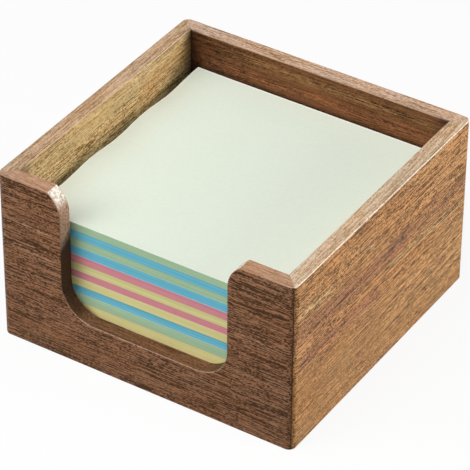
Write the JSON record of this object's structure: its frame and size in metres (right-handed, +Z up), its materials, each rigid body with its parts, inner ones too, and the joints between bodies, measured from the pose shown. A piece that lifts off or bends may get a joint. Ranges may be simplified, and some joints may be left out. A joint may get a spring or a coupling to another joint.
{
  "type": "memo box",
  "caption": "Open wooden memo box with mitred corners and a U-shaped finger cut-out in its front, holding a cube of loose coloured note sheets that lift out.",
  "frame": {"origin": "centre of the box's footprint, at table height", "axes": "+X to the right along the front, +Y from the front with the cut-out to the back, +Z up"},
  "size_m": [0.104, 0.102, 0.06],
  "materials": {
    "acacia_wood": "oiled, satin",
    "floor_wood": "oiled, matte",
    "paper_green": "matte",
    "paper_blue": "matte",
    "paper_pink": "matte",
    "paper_yellow": "matte"
  },
  "bodies": {
    "box": {"front_wall": "acacia_wood", "back_wall": "acacia_wood", "left_wall": "acacia_wood", "right_wall": "acacia_wood", "floor_panel": "floor_wood"},
    "notes_01_green": {"notes_01_green": "paper_green"},
    "notes_02_blue": {"notes_02_blue": "paper_blue"},
    "notes_03_green": {"notes_03_green": "paper_green"},
    "notes_04_blue": {"notes_04_blue": "paper_blue"},
    "notes_05_pink": {"notes_05_pink": "paper_pink"},
    "notes_06_yellow": {"notes_06_yellow": "paper_yellow"},
    "notes_07_pink": {"notes_07_pink": "paper_pink"},
    "notes_08_yellow": {"notes_08_yellow": "paper_yellow"},
    "notes_09_blue": {"notes_09_blue": "paper_blue"},
    "notes_10_green": {"notes_10_green": "paper_green"},
    "notes_11_yellow": {"notes_11_yellow": "paper_yellow"},
    "notes_12_pink": {"notes_12_pink": "paper_pink"},
    "notes_13_blue": {"notes_13_blue": "paper_blue"},
    "notes_14_green": {"notes_14_green": "paper_green"}
  },
  "joints": [
    {"name": "lift_notes_01_green", "type": "slide", "parent": "notes_02_blue", "child": "notes_01_green", "axis": [0, 0, 1], "range_m": [0, 0.0206]},
    {"name": "lift_notes_02_blue", "type": "slide", "parent": "notes_03_green", "child": "notes_02_blue", "axis": [0, 0, 1], "range_m": [0, 0.0233]},
    {"name": "lift_notes_03_green", "type": "slide", "parent": "notes_04_blue", "child": "notes_03_green", "axis": [0, 0, 1], "range_m": [0, 0.0261]},
    {"name": "lift_notes_04_blue", "type": "slide", "parent": "notes_05_pink", "child": "notes_04_blue", "axis": [0, 0, 1], "range_m": [0, 0.0292]},
    {"name": "lift_notes_05_pink", "type": "slide", "parent": "notes_06_yellow", "child": "notes_05_pink", "axis": [0, 0, 1], "range_m": [0, 0.032]},
    {"name": "lift_notes_06_yellow", "type": "slide", "parent": "notes_07_pink", "child": "notes_06_yellow", "axis": [0, 0, 1], "range_m": [0, 0.035]},
    {"name": "lift_notes_07_pink", "type": "slide", "parent": "notes_08_yellow", "child": "notes_07_pink", "axis": [0, 0, 1], "range_m": [0, 0.0375]},
    {"name": "lift_notes_08_yellow", "type": "slide", "parent": "notes_09_blue", "child": "notes_08_yellow", "axis": [0, 0, 1], "range_m": [0, 0.0404]},
    {"name": "lift_notes_09_blue", "type": "slide", "parent": "notes_10_green", "child": "notes_09_blue", "axis": [0, 0, 1], "range_m": [0, 0.0433]},
    {"name": "lift_notes_10_green", "type": "slide", "parent": "notes_11_yellow", "child": "notes_10_green", "axis": [0, 0, 1], "range_m": [0, 0.0466]},
    {"name": "lift_notes_11_yellow", "type": "slide", "parent": "notes_12_pink", "child": "notes_11_yellow", "axis": [0, 0, 1], "range_m": [0, 0.0496]},
    {"name": "lift_notes_12_pink", "type": "slide", "parent": "notes_13_blue", "child": "notes_12_pink", "axis": [0, 0, 1], "range_m": [0, 0.0524]},
    {"name": "lift_notes_13_blue", "type": "slide", "parent": "notes_14_green", "child": "notes_13_blue", "axis": [0, 0, 1], "range_m": [0, 0.0552]},
    {"name": "lift_notes_14_green", "type": "slide", "parent": "box", "child": "notes_14_green", "axis": [0, 0, 1], "range_m": [0, 0.058]}
  ]
}
